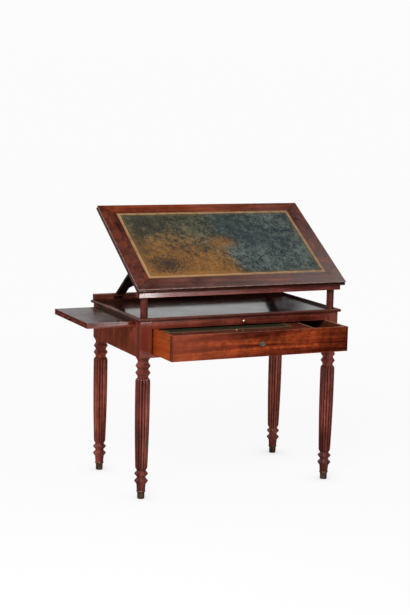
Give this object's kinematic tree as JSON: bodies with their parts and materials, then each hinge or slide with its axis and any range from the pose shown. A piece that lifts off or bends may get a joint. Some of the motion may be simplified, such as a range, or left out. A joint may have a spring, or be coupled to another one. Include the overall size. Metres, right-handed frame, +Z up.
{
  "type": "tronchin table",
  "caption": "Mahogany writing table on reeded legs with a rising, tilting leather slope on a hinged prop, a drawer with a sliding leather panel, and pull-out side slides.",
  "frame": {"origin": "on the floor, under the middle of the open table's box", "axes": "+Z up, the drawer faces -Y, the side slides draw out along X"},
  "size_m": [1.1196, 0.6978, 1.1392],
  "materials": {
    "mahogany": "polished",
    "oak": "waxed",
    "ebonised": "stained black, satin",
    "green_leather": "worn, gold tooled",
    "brass": "polished",
    "bronze": "dark patina",
    "iron": "filed, oiled"
  },
  "bodies": {
    "table": {"leg_front_left": "mahogany", "leg_front_right": "mahogany", "leg_back_left": "mahogany", "leg_back_right": "mahogany", "sabot_front_left": "bronze", "sabot_front_right": "bronze", "sabot_back_left": "bronze", "sabot_back_right": "bronze", "left_apron": "mahogany", "right_apron": "mahogany", "left_slide_strip": "mahogany", "right_slide_strip": "mahogany", "back_rail": "mahogany", "front_top_rail": "mahogany", "front_bottom_rail": "mahogany", "drawer_runner_left": "oak", "drawer_runner_right": "oak", "slide_guide_front": "oak", "slide_guide_back": "oak", "top_panel": "mahogany", "top_bead": "mahogany", "rear_rest_rail": "mahogany", "prop_hinge_left_fixed_leaf": "brass", "prop_hinge_right_fixed_leaf": "brass"},
    "lift": {"post_left": "mahogany", "post_right": "mahogany", "lift_rail": "mahogany", "slope_hinge_left_lower_leaf": "brass", "slope_hinge_right_lower_leaf": "brass"},
    "slope": {"slope_front_border": "mahogany", "slope_back_border": "mahogany", "slope_left_border": "mahogany", "slope_right_border": "mahogany", "slope_core": "mahogany", "slope_leather": "green_leather", "slope_hinge_left_upper_leaf": "brass", "slope_hinge_right_upper_leaf": "brass", "prop_cleat": "mahogany"},
    "prop": {"prop_frame": "ebonised", "prop_hinge_left_moving_leaf": "brass", "prop_hinge_right_moving_leaf": "brass"},
    "drawer": {"drawer_front": "mahogany", "drawer_left_side": "oak", "drawer_right_side": "oak", "drawer_back": "oak", "drawer_bottom": "oak", "drawer_partition": "oak", "escutcheon": "bronze", "lock_case": "iron"},
    "bolt": {"lock_bolt": "iron"},
    "writing_panel": {"writing_panel_board": "mahogany", "writing_panel_leather": "green_leather", "writing_panel_knob": "brass"},
    "left_slide": {"left_slide_board": "mahogany", "left_slide_knob": "brass"},
    "right_slide": {"right_slide_board": "mahogany", "right_slide_knob": "brass"},
    "release": {"release_knob": "brass", "release_bar": "iron"}
  },
  "joints": [
    {"name": "lift_slide", "type": "slide", "parent": "table", "child": "lift", "axis": [0, 0, 1], "range_m": [-0.079, 0]},
    {"name": "slope_hinge", "type": "hinge", "parent": "lift", "child": "slope", "pos_m": [0.09425, -0.1781, 0.8352], "axis": [1, 0, 0], "range_deg": [-32.3, 0]},
    {"name": "prop_hinge", "type": "hinge", "parent": "table", "child": "prop", "pos_m": [0.09425, 0.3144, 0.755], "axis": [-1, 0, 0], "range_deg": [-38.6, 0]},
    {"name": "drawer_slide", "type": "slide", "parent": "table", "child": "drawer", "axis": [0, -1, 0], "range_m": [-0.172, 0.13]},
    {"name": "panel_slide", "type": "slide", "parent": "drawer", "child": "writing_panel", "axis": [0, 1, 0], "range_m": [0, 0.117]},
    {"name": "bolt_rise", "type": "slide", "parent": "drawer", "child": "bolt", "axis": [0, 0, 1], "range_m": [0, 0.008]},
    {"name": "left_slide_pull", "type": "slide", "parent": "table", "child": "left_slide", "axis": [-1, 0, 0], "range_m": [-0.196, 0.06]},
    {"name": "right_slide_pull", "type": "slide", "parent": "table", "child": "right_slide", "axis": [1, 0, 0], "range_m": [0, 0.256]},
    {"name": "release_push", "type": "slide", "parent": "table", "child": "release", "axis": [0, 1, 0], "range_m": [0, 0.006], "stiffness_N_per_m": 800, "springref_m": -0.004}
  ],
  "couplings": [
    {"joint": "slope_hinge", "follows": "lift_slide", "rad_per_m": 7.1139},
    {"joint": "prop_hinge", "follows": "lift_slide", "rad_per_m": 8.5057}
  ]
}
